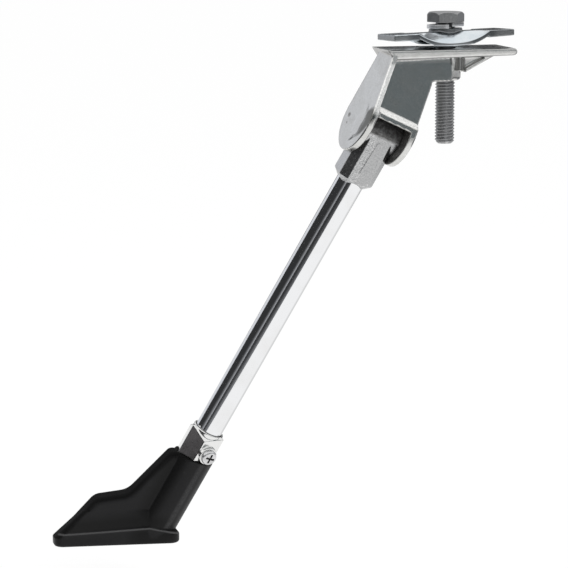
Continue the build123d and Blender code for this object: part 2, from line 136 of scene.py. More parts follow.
# %% Writing finishes as sums
class Wire:
    """One output socket that can be used in a sum."""

    def __init__(self, finish, socket):
        self.finish = finish
        self.socket = socket

    def sum(self, operation, first, second):
        return self.finish.node("Math", {"operation": operation}, {0: first, 1: second})

    def __add__(self, other):
        return self.sum("ADD", self, other)

    def __radd__(self, other):
        return self.sum("ADD", other, self)

    def __sub__(self, other):
        return self.sum("SUBTRACT", self, other)

    def __rsub__(self, other):
        return self.sum("SUBTRACT", other, self)

    def __mul__(self, other):
        return self.sum("MULTIPLY", self, other)

    def __rmul__(self, other):
        return self.sum("MULTIPLY", other, self)


class Finish:
    """A material, or the world, and the nodes in it."""

    def __init__(self, owner):
        owner.use_nodes = True
        self.owner = owner
        self.tree = owner.node_tree
        self.tree.nodes.clear()

    def node(self, kind, settings=None, sockets=None, out=0):
        made = self.tree.nodes.new("ShaderNode" + kind)
        for name, value in (settings or {}).items():
            if name == "stops":
                self.set_stops(made.color_ramp, value)
            else:
                setattr(made, name, value)
        for name, value in (sockets or {}).items():
            if isinstance(value, Wire):
                self.tree.links.new(value.socket, made.inputs[name])
            else:
                made.inputs[name].default_value = value
        return Wire(self, made.outputs[out]) if len(made.outputs) else made

    def set_stops(self, ramp, stops):
        ramp.elements[0].position, ramp.elements[0].color = stops[0]
        ramp.elements[-1].position, ramp.elements[-1].color = stops[-1]
        for place, colour in stops[1:-1]:
            ramp.elements.new(place).color = colour


print("finishes can be written")

# %% [markdown]
# Wear, dirt, painted shade and painted highlights sit in certain places: on an edge, in a hollow,
# on the side that faces the wheel.
# A finish finds such a place by measuring from a point, a line or a direction. It reads the piece's
# own coordinates, so the mark rides with the piece when a joint moves. Painting the marks on by
# hand would need an image for each piece.

# %% Measures on a surface
MM_IN_A_METRE = 1000.0
ORIGIN = (0, 0, 0)
UP = (0, 0, 1)
FRONT_SIDE = (0, -1, 0)


def place_on(finish):
    return finish.node("TexCoord", out=3)


def vectors(finish, operation, first, second, out=0):
    return finish.node("VectorMath", {"operation": operation}, {0: first, 1: second}, out)


def reach(finish, direction, start=PIN):
    """How far a point lies from a start along one direction, in millimetres."""
    step = vectors(finish, "SUBTRACT", place_on(finish), start)
    return vectors(finish, "DOT_PRODUCT", step, direction, out=1) * MM_IN_A_METRE


def level_of(finish):
    """How far a point lies above the bracket's top face, in millimetres."""
    return reach(finish, UP, ORIGIN)


def apart(finish, point):
    """How far a point of the surface is from a given point, in millimetres."""
    return vectors(finish, "DISTANCE", place_on(finish), point, out=1) * MM_IN_A_METRE


def leg_point(across, down, front):
    """A place given in millimetres from the fold pin."""
    return PIN + (ACROSS * across + DOWN * down + FRONT * front) * MM


def round_leg(degrees):
    """A direction square to the leg, turned from its front towards its outer side."""
    turn = math.radians(degrees)
    return FRONT * math.cos(turn) + ACROSS * math.sin(turn)


def off_line(finish, start, along):
    """How far a point lies from a line, in millimetres."""
    step = vectors(finish, "SUBTRACT", place_on(finish), start)
    arm = vectors(finish, "CROSS_PRODUCT", step, along)
    return finish.node("VectorMath", {"operation": "LENGTH"}, {0: arm}, out=1) * MM_IN_A_METRE


def larger(finish, first, second):
    return finish.node("Math", {"operation": "MAXIMUM"}, {0: first, 1: second})


def facing(finish, direction):
    """How squarely the surface faces one direction, 1 when it looks straight along it."""
    normal = finish.node("TexCoord", out=1)
    return vectors(finish, "DOT_PRODUCT", normal, direction, out=1)


def edge_share(finish):
    """Over one half on outer edges and under it in hollows."""
    return finish.node("NewGeometry", out=7)


def size_of(finish, value):
    return finish.node("Math", {"operation": "ABSOLUTE"}, {0: value})


print("surfaces can be measured")

# %% [markdown]
# Most finishes here need the same few things: a cloud of soft patches, a fine grain, a mask cut
# from either one, a mix of two colours, and a little relief. Sizes are in metres, so a grain of
# half a millimetre is written as that.

# %% Patches, grain and masks
def cloud(finish, size, detail=2.0, rough=0.5, stretch=None):
    place = place_on(finish)
    if stretch:
        place = finish.node("Mapping", {}, {"Vector": place, "Scale": stretch})
    sockets = {"Vector": place, "Scale": 1.0 / size, "Detail": detail, "Roughness": rough}
    return finish.node("TexNoise", {}, sockets)


def cut(finish, value, low, high):
    return finish.node("MapRange", {"clamp": True}, {0: value, 1: low, 2: high})


def two_colours(finish, mask, first, second):
    return finish.node("Mix", {"data_type": "RGBA"}, {0: mask, 6: first, 7: second}, out=2)


def raise_by(finish, relief, depth):
    return finish.node("Bump", {}, {"Height": relief, "Distance": depth, "Strength": 1.0})


def coat(finish, sockets):
    skin = finish.node("BsdfPrincipled", {}, sockets)
    finish.node("OutputMaterial", {}, {"Surface": skin})
    return finish.owner


def new_finish(name):
    return Finish(bpy.data.materials.new(name))


print("patches, grain and masks are ready")

# %% [markdown]
# The stage is a wide pale floor under the boot with white all round. Polished metal only shows
# what stands about it, so the floor counts as white for what the camera and the metal see, and it
# keeps a soft shadow by letting some of its plain shading through. The floor lies lower than the
# boot's sole by as far as the foot can slide out, so that the longest leg clears it.

# %% Floor and sky
FLOOR = solid_box[0].z
FLOOR_HALF = 30.0
FOOT_TRAVEL = joints["foot_extend"]["range_m"][1]
FLOOR_GAP = 0.5 * MM
SHADOW_SHARE = 0.10


def grey(level):
    return (level, level, level, 1.0)


def seen_directly(finish):
    """1 for what the camera or a mirror sees, 0 for light that only spreads."""
    path = finish.node("LightPath")
    outs = path.socket.node.outputs
    camera_ray = Wire(finish, outs["Is Camera Ray"])
    glossy_ray = Wire(finish, outs["Is Glossy Ray"])
    clear_ray = Wire(finish, outs["Is Transmission Ray"])
    seen = camera_ray + glossy_ray + clear_ray
    return finish.node("Math", {"operation": "MINIMUM"}, {0: seen, 1: 1.0})


floor_finish = new_finish("floor_white")
shaded = floor_finish.node("BsdfDiffuse", {}, {"Color": grey(0.92)})
white = floor_finish.node("Emission", {}, {"Color": grey(1.0), "Strength": 1.0})
white_share = seen_directly(floor_finish) * (1.0 - SHADOW_SHARE)
floor_mix = floor_finish.node("MixShader", {}, {0: white_share, 1: shaded, 2: white})
floor_finish.node("OutputMaterial", {}, {"Surface": floor_mix})


def sheet_of(name, points, finish, faces=None):
    """A sheet for the stage: one face through all its points, unless the faces are given."""
    mesh = bpy.data.meshes.new(name)
    mesh.from_pydata(points, [], faces or [tuple(range(len(points)))])
    mesh.materials.append(finish.owner)
    made = placed(name, mesh)
    return made


ground = FLOOR + FOOT_TRAVEL * DOWN.z - FLOOR_GAP
square = [(-1, -1), (1, -1), (1, 1), (-1, 1)]
sheet_of("floor", [(x * FLOOR_HALF, y * FLOOR_HALF, ground) for x, y in square], floor_finish)

sky = Finish(bpy.data.worlds.new("sky"))
scene.world = sky.owner
sky_glow = sky.node("Background", {}, {"Color": grey(1.0), "Strength": 1.0})
sky.node("OutputWorld", {}, {"Surface": sky_glow})
print("sole at", round(FLOOR / MM, 2), "mm, floor at", round(ground / MM, 2), "mm")

# %% [markdown]
# A chromed tube in a white room is only white. The bands along the real leg come from dark cloth
# at the left of the table, from the dim far end of the room, and from the floor beyond the table's
# edge, so cards stand there. Their grey is not even: the hung cloth gets lighter towards the floor
# and the floor gets lighter towards the table, which is what gives the bands one soft side and one
# sharp one. Only mirror-like reflections see the cards. They cast no shadow and the camera never
# sees them.

# %% What a card is made of
LEG_MIDDLE = PIN + DOWN * 90 * MM
GREYS_UPWARDS = (0.0, 500.0)
GREYS_FROM_LEG = (200.0, 1200.0)
GREYS_ACROSS_ROOM = (400.0, 3000.0)


def card_finish(name, stops, measure):
    finish = new_finish(name)
    colour = finish.node("ValToRGB", {"stops": stops}, {0: measure(finish)})
    glow = finish.node("Emission", {}, {"Color": colour, "Strength": 1.0})
    finish.node("OutputMaterial", {}, {"Surface": glow})
    return finish


def height_share(finish):
    return cut(finish, reach(finish, UP, (0, 0, FLOOR)), *GREYS_UPWARDS)


def floor_share(finish):
    return cut(finish, apart(finish, (LEG_MIDDLE.x, LEG_MIDDLE.y, FLOOR)), *GREYS_FROM_LEG)


def far_share(finish):
    return cut(finish, apart(finish, (0, 0, FLOOR)), *GREYS_ACROSS_ROOM)


def cloth(level):
    return (level * 0.98, level, level * 1.05, 1.0)


def card_of(name, points, finish, faces=None):
    card = sheet_of(name, points, finish, faces)
    card.visible_camera = False
    card.visible_diffuse = False
    card.visible_shadow = False
    card.visible_transmission = False
    card.visible_volume_scatter = False


def round_point(far, degrees, z):
    turn = math.radians(degrees)
    return (far * math.cos(turn), far * math.sin(turn), z)


print("cards can be made")

# %% [markdown]
# Five cards hang in a circle round the table. Each row of the list gives a card's name, where it
# starts and ends in degrees, its lower and upper edge, and its greys from the floor upwards.

# %% Hung cards
CARD_FAR = 3.0
CARD_STEPS = 24

LEFT_GREYS = [(0.0, cloth(0.46)), (0.22, cloth(0.32)), (0.5, cloth(0.14)), (0.78, cloth(0.05)),
              (1.0, cloth(0.035))]
FRONT_GREYS = [(0.0, (0.165, 0.19, 0.20, 1.0)), (1.0, (0.146, 0.168, 0.177, 1.0))]
hung_cards = (
    ("left", 139.0, 250.0, FLOOR, 1.15, LEFT_GREYS),
    ("front", 250.0, 325.0, -0.02, 1.45, FRONT_GREYS),
    ("side", 100.0, 139.0, FLOOR, 5.0, [(0.0, cloth(0.77)), (1.0, cloth(0.75))]),
    ("back", 45.0, 100.0, -0.2, 0.86, [(0.0, cloth(0.07)), (1.0, cloth(0.06))]),
    ("right", 325.0, 405.0, FLOOR, 1.0, [(0.0, cloth(0.55)), (1.0, cloth(0.30))]),
)
for name, first, last, bottom, top, greys in hung_cards:
    places = [first + (last - first) * i / CARD_STEPS for i in range(CARD_STEPS + 1)]
    points = [round_point(CARD_FAR, place, z) for place in places for z in (bottom, top)]
    faces = [(2 * i, 2 * i + 2, 2 * i + 3, 2 * i + 1) for i in range(CARD_STEPS)]
    card_of("card_" + name, points, card_finish("cloth_" + name, greys, height_share), faces)
print("hung cards:", ", ".join(row[0] for row in hung_cards))

# %% [markdown]
# The other cards lie flat: dark cloth beyond the table's left edge, a ring of floor in two parts
# that dims with distance, and a dark patch at the right. They lie a hair apart in height, so that
# it is never left to chance which one hides another.

# %% Lying cards
RING_STEPS = 48
FAR_LEVEL = FLOOR + 0.2 * MM
RIGHT_LEVEL = FLOOR + 0.4 * MM
LEFT_LEVEL = FLOOR + 0.5 * MM
RIGHT_NEAR = 0.36
RIGHT_FAR = 1.5

table_edge = [(-0.17, -0.44), (-0.198, -0.279), (-0.239, -0.145), (-0.29, 0.05), (-0.36, 0.30)]
outside = [(-1.6, 2.0), (-2.7, 1.0), (-2.9, 0.0), (-2.6, -1.3), (-1.6, -2.4), (-0.7, -2.8)]
left_points = [(x, y, LEFT_LEVEL) for x, y in table_edge + outside]
left_greys = [(0.0, cloth(0.24)), (0.13, cloth(0.19)), (0.3, cloth(0.09)), (0.65, cloth(0.038)),
              (1.0, cloth(0.034))]
left_floor = card_finish("cloth_floor", left_greys, floor_share)
card_of("card_floor", left_points, left_floor)

far_greys = [(0.0, grey(1.0)), (0.2, grey(0.86)), (0.45, grey(0.68)), (1.0, grey(0.40))]
far_floor = card_finish("floor_far", far_greys, far_share)
places = [360.0 * k / RING_STEPS for k in range(RING_STEPS)]
faces = [(2 * k, 2 * k + 1, (2 * k + 3) % (2 * RING_STEPS), (2 * k + 2) % (2 * RING_STEPS))
         for k in range(RING_STEPS)]
for name, first, last in (("card_floor_near", 0.4, 1.2), ("card_floor_far", 1.2, 6.0)):
    points = [round_point(far, place, FAR_LEVEL) for place in places for far in (first, last)]
    card_of(name, points, far_floor, faces)

right_greys = [(0.0, cloth(0.42)), (0.3, cloth(0.20)), (1.0, cloth(0.12))]
right_floor = card_finish("floor_right", right_greys, floor_share)
places = (-52, -36, -18, 0, 18, 36, 52)
near_edge = [round_point(RIGHT_NEAR, place, RIGHT_LEVEL) for place in places]
far_edge = [round_point(RIGHT_FAR, place, RIGHT_LEVEL) for place in reversed(places)]
card_of("card_floor_right", near_edge + far_edge, right_floor)
print("lying cards: left floor, far floor, right floor")

# %% [markdown]
# The white room gives most of the light. One large soft lamp stands high to the right of the camera
# and lifts the boot off its own black. It is wide, so its shadow has no hard edge, and the metal
# doesn't mirror it.

# %% Lamp
def lamp(name, at, aim, size, power):
    data = bpy.data.lights.new(name, "AREA")
    data.shape = "DISK"
    data.size = size
    data.energy = power
    made = placed(name, data)
    made.location = at
    made.rotation_euler = (Vector(at) - Vector(aim)).to_track_quat("Z", "Y").to_euler()
    made.visible_glossy = False


lamp("lamp_key", at=(0.75, -0.95, 1.05), aim=(-0.08, 0.0, -0.12), size=0.7, power=16.0)
print("lamp: key")

# %% [markdown]
# The bracket's colour carries painted shade and painted highlights. Between the two ears of the
# fork, where shade falls, a mask built from the pin's place and directions paints whatever lies
# inside the fork nearly black as painted shade. The front wall of the ear's round hollow, its two
# gas holes and the clamp plate's seat carry painted shade as well. A few edges carry a painted
# highlight in matt white instead.

# %% Painted shade and highlights on the bracket
FORK_HALF = 9.75
FORK_ROOF = -9.7
DISH_MIDDLE = leg_point(13.0, -4.2, 9.6)
DISH_LENGTHWISE = FRONT * 0.35 - DOWN * 0.94
DISH_CROSSWISE = FRONT * 0.94 + DOWN * 0.35
DISH_HALF_LENGTH = 9.4
DISH_HALF_WIDTH = 5.2
DISH_OUTER = 11.0
GAS_HOLES = ((leg_point(13.0, 0.4, -12.7), 0.8, 1.5), (leg_point(13.0, 4.1, -11.0), 0.4, 0.9))
TOP_EDGE_FROM = -1.5
UNDERSIDE_FROM = -7.0
LEDGE_FROM = -20.0
LEDGE_FACES = Vector((0.396, -0.555, 0.732)).normalized()
EAR_INSIDE = 9.9
EAR_EDGE_END = -12.0


# Painted shade: the inside of the fork, where shade falls, is painted nearly black.
def in_the_fork(finish):
    side = 1 - cut(finish, size_of(finish, reach(finish, ACROSS)), FORK_HALF, FORK_HALF + 0.5)
    return side * cut(finish, reach(finish, DOWN), FORK_ROOF - 0.5, FORK_ROOF)


def dish_wall_shade(finish):
    """Painted shade on the front wall of the round hollow in the outer ear."""
    along = reach(finish, DISH_LENGTHWISE, DISH_MIDDLE) * (1 / DISH_HALF_LENGTH)
    aside = reach(finish, DISH_CROSSWISE, DISH_MIDDLE) * (1 / DISH_HALF_WIDTH)
    outer = cut(finish, reach(finish, ACROSS), DISH_OUTER, DISH_OUTER + 0.6)
    return outer * (1 - cut(finish, along * along + aside * aside, 0.62, 1.15))


def gas_holes(finish):
    """Two small holes that gas left in the rear of the outer ear, painted dark as painted shade."""
    masks = [1 - cut(finish, apart(finish, at), deep, rim) for at, deep, rim in GAS_HOLES]
    return larger(finish, *masks)


def plate_seat_shade(finish):
    """Painted shade on the clamp plate's seat: its sloped top edges and its underside are darker.
    """
    up = level_of(finish)
    tilt = facing(finish, UP)
    sloped = cut(finish, tilt, 0.1, 0.3) * (1 - cut(finish, tilt, 0.90, 0.985))
    top = cut(finish, up, TOP_EDGE_FROM, TOP_EDGE_FROM + 0.6) * sloped
    hanging = 1 - cut(finish, tilt, -0.75, -0.15)
    below = cut(finish, up, UNDERSIDE_FROM, UNDERSIDE_FROM + 1.5) * hanging
    return larger(finish, top * 0.75, below)


def painted_highlights(finish):
    """Painted highlight: the ledge over the fork and two front edges are painted matt white."""
    down = reach(finish, DOWN)
    on_ledge = cut(finish, down, LEDGE_FROM, LEDGE_FROM + 2.0)
    ledge = on_ledge * cut(finish, facing(finish, LEDGE_FACES), 0.93, 0.98)
    on_ear = cut(finish, reach(finish, ACROSS), EAR_INSIDE, EAR_INSIDE + 0.4)
    on_ear = on_ear * (1 - cut(finish, down, EAR_EDGE_END, EAR_EDGE_END + 3.0))
    on_plate = cut(finish, level_of(finish), UNDERSIDE_FROM - 0.5, UNDERSIDE_FROM + 1.5)
    edge = on_ear * (1 - on_plate) * cut(finish, facing(finish, FRONT), 0.40, 0.60)
    plate_front = on_plate * cut(finish, facing(finish, FRONT_SIDE), 0.80, 0.95)
    return larger(finish, ledge, larger(finish, 0.8 * edge, 0.28 * plate_front))


print("bracket's marks: fork, dish, gas holes, plate edges, chalky edges")

# %% [markdown]
# The bracket is a casting that was tumbled smooth and plated bright. Close up its skin has duller
# patches, a fine grain and a few pits where gas sat in the mould. Each colour below is laid over
# the one before it through a mask: the plating first, then painted shade and painted highlights.

# %% Finish of the bracket
# The black of painted shade: inside the fork, on the knuckle's hub, in the collar's gap and in the
# screw's cross.
SHADE_BLACK = (0.030, 0.028, 0.026, 1.0)

bright = new_finish("cast_bright")
patches = cloud(bright, 9 * MM, 3.0)
skin = cloud(bright, 0.7 * MM, 3.0, 0.6)
holes = bright.node("TexVoronoi", {}, {"Vector": place_on(bright), "Scale": 1 / (9 * MM)})
pits = larger(bright, 0.5 * (1 - cut(bright, holes, 0.03, 0.06)), gas_holes(bright))
dull = cut(bright, patches, 0.42, 0.68)
# Painted shade inside the fork.
fork_shade = in_the_fork(bright) * cut(bright, skin, 0.20, 0.45)
grain = cut(bright, skin, 0.30, 0.70)
plate_tint = two_colours(bright, dull, (0.74, 0.74, 0.725, 1.0), (0.66, 0.655, 0.635, 1.0))
grain_tint = two_colours(bright, 0.30 * (1 - grain), plate_tint, (0.28, 0.28, 0.27, 1.0))
# Painted shade on the plate seat's sloped top edges and underside.
edge_tint = two_colours(bright, 0.8 * plate_seat_shade(bright), grain_tint, (0.20, 0.20, 0.20, 1.0))
# Painted highlight: matt white on the ledge and two front edges.
highlight = painted_highlights(bright) * (0.65 + 0.35 * grain)
# Painted shade on the front wall of the ear's round hollow.
dish_tint = two_colours(bright, 0.93 * dish_wall_shade(bright), edge_tint, (0.085, 0.085, 0.075, 1.0))
tint = two_colours(bright, 0.85 * highlight, dish_tint, (0.86, 0.86, 0.85, 1.0))
# The pits are pressed in as relief and painted dark; in the two gas holes the dark is painted
# shade.
pitted = two_colours(bright, pits * 0.7, tint, (0.16, 0.15, 0.14, 1.0))
bright_relief = 0.25 * skin + 0.25 * patches - 1.5 * pits
CAST_BRIGHT = coat(bright, {
    "Base Color": two_colours(bright, fork_shade * 0.95, pitted, SHADE_BLACK),
    "Metallic": (1 - 0.6 * fork_shade) * (1 - 0.75 * highlight),
    "Roughness": 0.15 + 0.06 * dull + 0.05 * skin + 0.25 * fork_shade,
    "Normal": raise_by(bright, bright_relief, 0.04 * MM),
})
print("finish:", CAST_BRIGHT.name)

# %% [markdown]
# The leg's knuckle is the same metal but was only blasted before it was plated, so its skin is an
# even frosty grain with little flashes where the edges were rubbed. The mould's two halves met
# along its front: on one side of that line the skin is coarse, on the other it is smoother. The hub
# that turns inside the fork carries painted shade like the fork itself. The left flat is painted
# lighter as painted light, and one chamfer is painted dark as a painted reflection.

# %% Finish of the knuckle
MOULD_LINE = 1.0

frosty = new_finish("cast_grey")
frost = cloud(frosty, 0.45 * MM, 2.0, 0.7)
smears = cloud(frosty, 6 * MM, 3.0)
coarse = cut(frosty, reach(frosty, ACROSS), MOULD_LINE - 0.3, MOULD_LINE + 0.3)
rubbed = cut(frosty, edge_share(frosty), 0.52, 0.60)
mottle = cut(frosty, cloud(frosty, 1.6 * MM, 2.0, 0.6), 0.36, 0.62)
# Painted shade on the hub that turns inside the fork.
hub_shade = 1 - cut(frosty, reach(frosty, DOWN) + 3.0 * smears, 0.2, 1.8)
hub_shade = hub_shade * (0.74 + 0.26 * mottle)
speck = cut(frosty, frost, 0.36, 0.62)
# Painted reflection: one chamfer is painted dark.
chamfer_reflection = cut(frosty, facing(frosty, (ACROSS + FRONT).normalized()), 0.90, 0.97)
fine_tint = two_colours(frosty, speck, (0.38, 0.385, 0.39, 1.0), (0.45, 0.45, 0.45, 1.0))
coarse_tint = two_colours(frosty, speck, (0.24, 0.245, 0.25, 1.0), (0.66, 0.66, 0.66, 1.0))
skin_tint = two_colours(frosty, 0.25 + 0.75 * coarse, fine_tint, coarse_tint)
# Painted light: the left flat is painted lighter.
left_flat_light = cut(frosty, facing(frosty, ACROSS), 0.85, 0.95)
flat_tint = two_colours(frosty, 0.7 * left_flat_light, skin_tint, (0.62, 0.62, 0.62, 1.0))
frost_tint = two_colours(frosty, 0.8 * chamfer_reflection, flat_tint, (0.20, 0.20, 0.20, 1.0))
frost_colour = two_colours(frosty, rubbed * 0.5, frost_tint, (0.80, 0.80, 0.80, 1.0))
CAST_GREY = coat(frosty, {
    "Base Color": two_colours(frosty, hub_shade * 0.93, frost_colour, SHADE_BLACK),
    "Metallic": 1 - 0.5 * hub_shade,
    "Roughness": (0.20 + 0.04 * frost + 0.10 * frost * coarse + 0.04 * smears
                  - 0.05 * rubbed + 0.1 * hub_shade),
    "Normal": raise_by(frosty, 0.2 * frost + 0.7 * frost * coarse + 0.4 * smears, 0.05 * MM),
})
print("finish:", CAST_GREY.name)

# %% [markdown]
# The tube is drawn steel under bright chrome. What keeps it from looking like a perfect mirror is
# very faint: lines left by the drawing, and smudges from handling that blur it a little. The side
# towards the wheel carries painted shade: a darker band along the tube.

# %% Finish of the tube
SHADED_SIDE = round_leg(-68.0)

chrome = new_finish("chrome_tube")
lines = cloud(chrome, 0.5 * MM, 2.0, 0.5, (1.0, 1.0, 0.03))
smudges = cut(chrome, cloud(chrome, 14 * MM, 3.0), 0.48, 0.72)
# Painted shade: a darker band on the side towards the wheel.
side_shade = cut(chrome, facing(chrome, SHADED_SIDE), 0.84, 0.96)
chrome_tint = two_colours(chrome, smudges, (0.84, 0.845, 0.855, 1.0), (0.80, 0.80, 0.80, 1.0))
CHROME_TUBE = coat(chrome, {
    "Base Color": two_colours(chrome, side_shade, chrome_tint, (0.50, 0.505, 0.51, 1.0)),
    "Metallic": 1.0,
    "Roughness": 0.065 + 0.03 * smudges + 0.015 * lines,
    "Normal": raise_by(chrome, lines, 0.002 * MM),
})
print("finish:", CHROME_TUBE.name)

# %% [markdown]
# The collar is a small polished casting: nearly as bright as the tube, with a soft waviness left
# by the buffing wheel and a few darker marks. One facet is painted dark as a painted reflection,
# and the gap round the tube is painted black as painted shade.

# %% Finish of the collar
GAP_SHADE_EDGE = 7.4
DARK_FACET_SIDE = (-0.648, -0.752, 0.122)

polish = new_finish("collar_bright")
waves = cloud(polish, 5 * MM, 2.0)
marks = cut(polish, cloud(polish, 1.6 * MM, 3.0, 0.6), 0.60, 0.72)
# Painted reflection: one facet is painted dark.
facet_reflection = cut(polish, facing(polish, DARK_FACET_SIDE), 0.95, 0.99)
buffed = two_colours(polish, marks * 0.5, (0.80, 0.80, 0.79, 1.0), (0.55, 0.54, 0.52, 1.0))
# Painted shade: the gap round the tube is painted black.
gap = 1 - cut(polish, off_line(polish, PIN, DOWN), GAP_SHADE_EDGE, GAP_SHADE_EDGE + 0.3)
collar_tint = two_colours(polish, facet_reflection * 0.85, buffed, (0.20, 0.18, 0.175, 1.0))
COLLAR_BRIGHT = coat(polish, {
    "Base Color": two_colours(polish, gap * 0.9, collar_tint, SHADE_BLACK),
    "Metallic": 1.0,
    "Roughness": 0.10 + 0.06 * waves + 0.12 * marks,
    "Normal": raise_by(polish, waves, 0.02 * MM),
})
print("finish:", COLLAR_BRIGHT.name)

# %% [markdown]
# The clamp plate is pressed sheet with a clear zinc plate, which is bluish white, satin, and
# streaked along the sheet where it was rolled and where the bath ran off. The wing away from the
# leg is painted dark as a painted reflection, the sheared edges are dark and carry painted shade
# near the bends, and the ring under the washer carries a painted shadow.

# %% Finish of the clamp plate
LENGTHWISE = (1, 0, 0)
BENDS_MIDDLE = (-1.0 * MM, 0, 0)
BEND_FROM_MIDDLE = 15.5
DARK_WING_START = 15.0
WASHER_SHADOW_EDGE = 8.6

zinc = new_finish("zinc_sheet")
rolled = cloud(zinc, 0.8 * MM, 2.0, 0.6, (0.06, 1.0, 1.0))
bloom = cut(zinc, cloud(zinc, 7 * MM, 4.0, 0.6), 0.40, 0.66)
sheared = 1 - cut(zinc, size_of(zinc, facing(zinc, UP)), 0.25, 0.55)
from_middle = size_of(zinc, reach(zinc, LENGTHWISE, BENDS_MIDDLE))
# Painted shade: the sheared edges are darker still near the bends.
bend_shade = 1 - cut(zinc, size_of(zinc, from_middle - BEND_FROM_MIDDLE), 4.5, 8.0)
# Painted reflection: the wing away from the leg is painted dark.
wing_reflection = cut(zinc, reach(zinc, LENGTHWISE, ORIGIN), DARK_WING_START, DARK_WING_START + 5.0)
clear_face = two_colours(zinc, bloom, (0.66, 0.72, 0.76, 1.0), (0.76, 0.80, 0.825, 1.0))
zinc_face = two_colours(zinc, 0.8 * wing_reflection, clear_face, (0.20, 0.205, 0.21, 1.0))
edge_colour = two_colours(zinc, bend_shade, (0.27, 0.275, 0.28, 1.0), (0.09, 0.095, 0.10, 1.0))
# Painted shadow: the ring under the washer is painted dark.
washer_shadow = 1 - cut(zinc, off_line(zinc, ORIGIN, UP), WASHER_SHADOW_EDGE, WASHER_SHADOW_EDGE + 1.6)
shadowed_face = two_colours(zinc, washer_shadow * 0.9, zinc_face, (0.10, 0.105, 0.11, 1.0))
ZINC_SHEET = coat(zinc, {
    "Base Color": two_colours(zinc, sheared * 0.85, shadowed_face, edge_colour),
    "Metallic": 1.0,
    "Roughness": 0.15 + 0.05 * bloom + 0.05 * rolled + 0.16 * sheared,
    "Normal": raise_by(zinc, 0.5 * rolled + 0.6 * bloom + 0.8 * sheared * rolled, 0.025 * MM),
})
print("finish:", ZINC_SHEET.name)

# %% [markdown]
# The bolt has an older, duller zinc: mid grey, speckled, a little lighter where the spanner has
# rubbed its edges. The spring washer is newer than the bolt and still bright. The two are one
# finish, which tells them apart by their height.

# %% Finish of the bolt and the washer
dull_steel = new_finish("bolt_steel")
speckle = cloud(dull_steel, 0.6 * MM, 3.0, 0.65)
stain = cloud(dull_steel, 5 * MM, 3.0)
worn = cut(dull_steel, edge_share(dull_steel), 0.53, 0.62)
washer_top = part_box("lock_washer")[1].z / MM
up = level_of(dull_steel)
below_head = 1 - cut(dull_steel, up, washer_top - 0.5, washer_top - 0.1)
on_washer = below_head * cut(dull_steel, up, 0.0, 2.0)
flecks = cut(dull_steel, speckle, 0.35, 0.7)
head_tint = two_colours(dull_steel, flecks, (0.26, 0.265, 0.27, 1.0), (0.42, 0.42, 0.425, 1.0))
fresh_tint = two_colours(dull_steel, flecks, (0.74, 0.75, 0.76, 1.0), (0.92, 0.92, 0.925, 1.0))
steel_tint = two_colours(dull_steel, on_washer, head_tint, fresh_tint)
BOLT_STEEL = coat(dull_steel, {
    "Base Color": two_colours(dull_steel, worn * 0.6, steel_tint, (0.62, 0.62, 0.62, 1.0)),
    "Metallic": 1.0,
    "Roughness": 0.30 + 0.10 * speckle + 0.10 * stain,
    "Normal": raise_by(dull_steel, speckle + stain, 0.03 * MM),
})
print("finish:", BOLT_STEEL.name)

# %% [markdown]
# The pin and the parts inside the leg are plain oiled steel, and the little cross-head screw is
# bright zinc with painted shade in its cross. Both are smooth small parts with a fine grain under
# a patchy film, so one function makes the two finishes.

# %% Finish of the pin and of the screw
SCREW_AT = leg_point(0.0, 185.2, 0.0)
SCREW_OUT = round_leg(-16.0)
HEAD_TOP = 13.02
CROSS_RADIUS = 2.45


# Painted shade in the screw's cross.
def cross_shade(finish):
    deep = 1 - cut(finish, reach(finish, SCREW_OUT, SCREW_AT), HEAD_TOP - 0.45, HEAD_TOP - 0.15)
    from_axis = off_line(finish, SCREW_AT, SCREW_OUT)
    return deep * (1 - cut(finish, from_axis, CROSS_RADIUS, CROSS_RADIUS + 0.25))


def smooth_finish(name, dark, light, base_rough, recess_shade=None):
    finish = new_finish(name)
    fine = cloud(finish, 0.4 * MM, 2.0, 0.6)
    film = cut(finish, cloud(finish, 3 * MM, 3.0), 0.40, 0.65)
    tint = two_colours(finish, film, dark, light)
    # Painted shade in a recess, when one is given.
    if recess_shade:
        tint = two_colours(finish, 0.85 * recess_shade(finish), tint, SHADE_BLACK)
    return coat(finish, {
        "Base Color": tint,
        "Metallic": 1.0,
        "Roughness": base_rough + 0.10 * film + 0.06 * fine,
        "Normal": raise_by(finish, fine, 0.01 * MM),
    })


PIN_STEEL = smooth_finish("pin_steel", (0.40, 0.39, 0.375, 1.0), (0.52, 0.515, 0.50, 1.0), 0.24)
SCREW_STEEL = smooth_finish("screw_steel", (0.58, 0.58, 0.58, 1.0), (0.72, 0.72, 0.73, 1.0), 0.22,
                            recess_shade=cross_shade)
print("finishes:", PIN_STEEL.name, SCREW_STEEL.name)

# %% [markdown]
# A thin rim runs along the front of the boot's tread. It climbs a little to a ridge in front of the
# sock and falls away again. Its points serve twice: here the finish measures from the rim, and
# further on the rim itself is raised along them.

# %% Rim of the boot's tread
tread = [
    (-184.9, 45.3, -245.9), (-176.9, 44.1, -245.7), (-166.8, 42.9, -245.3), (-156.7, 41.8, -244.8),
    (-146.6, 40.8, -244.4), (-141.6, 40.1, -244.1), (-136.7, 38.9, -244.8), (-131.4, 39.4, -246.2),
    (-127.5, 40.6, -247.5),
]
TREAD_RIDGE = 5


def over_rim(finish):
    """How far a point lies above the tread's rim, in millimetres."""
    first, ridge_top, last = [Vector(tread[i]) * MM for i in (0, TREAD_RIDGE, -1)]
    heights = []
    for start, end in ((first, ridge_top), (ridge_top, last)):
        along = (end - start).normalized()
        square_up = Vector(UP) - along * along.z
        heights.append(reach(finish, square_up.normalized(), start))
    return larger(finish, *heights)


print("tread rim:", len(tread), "points")

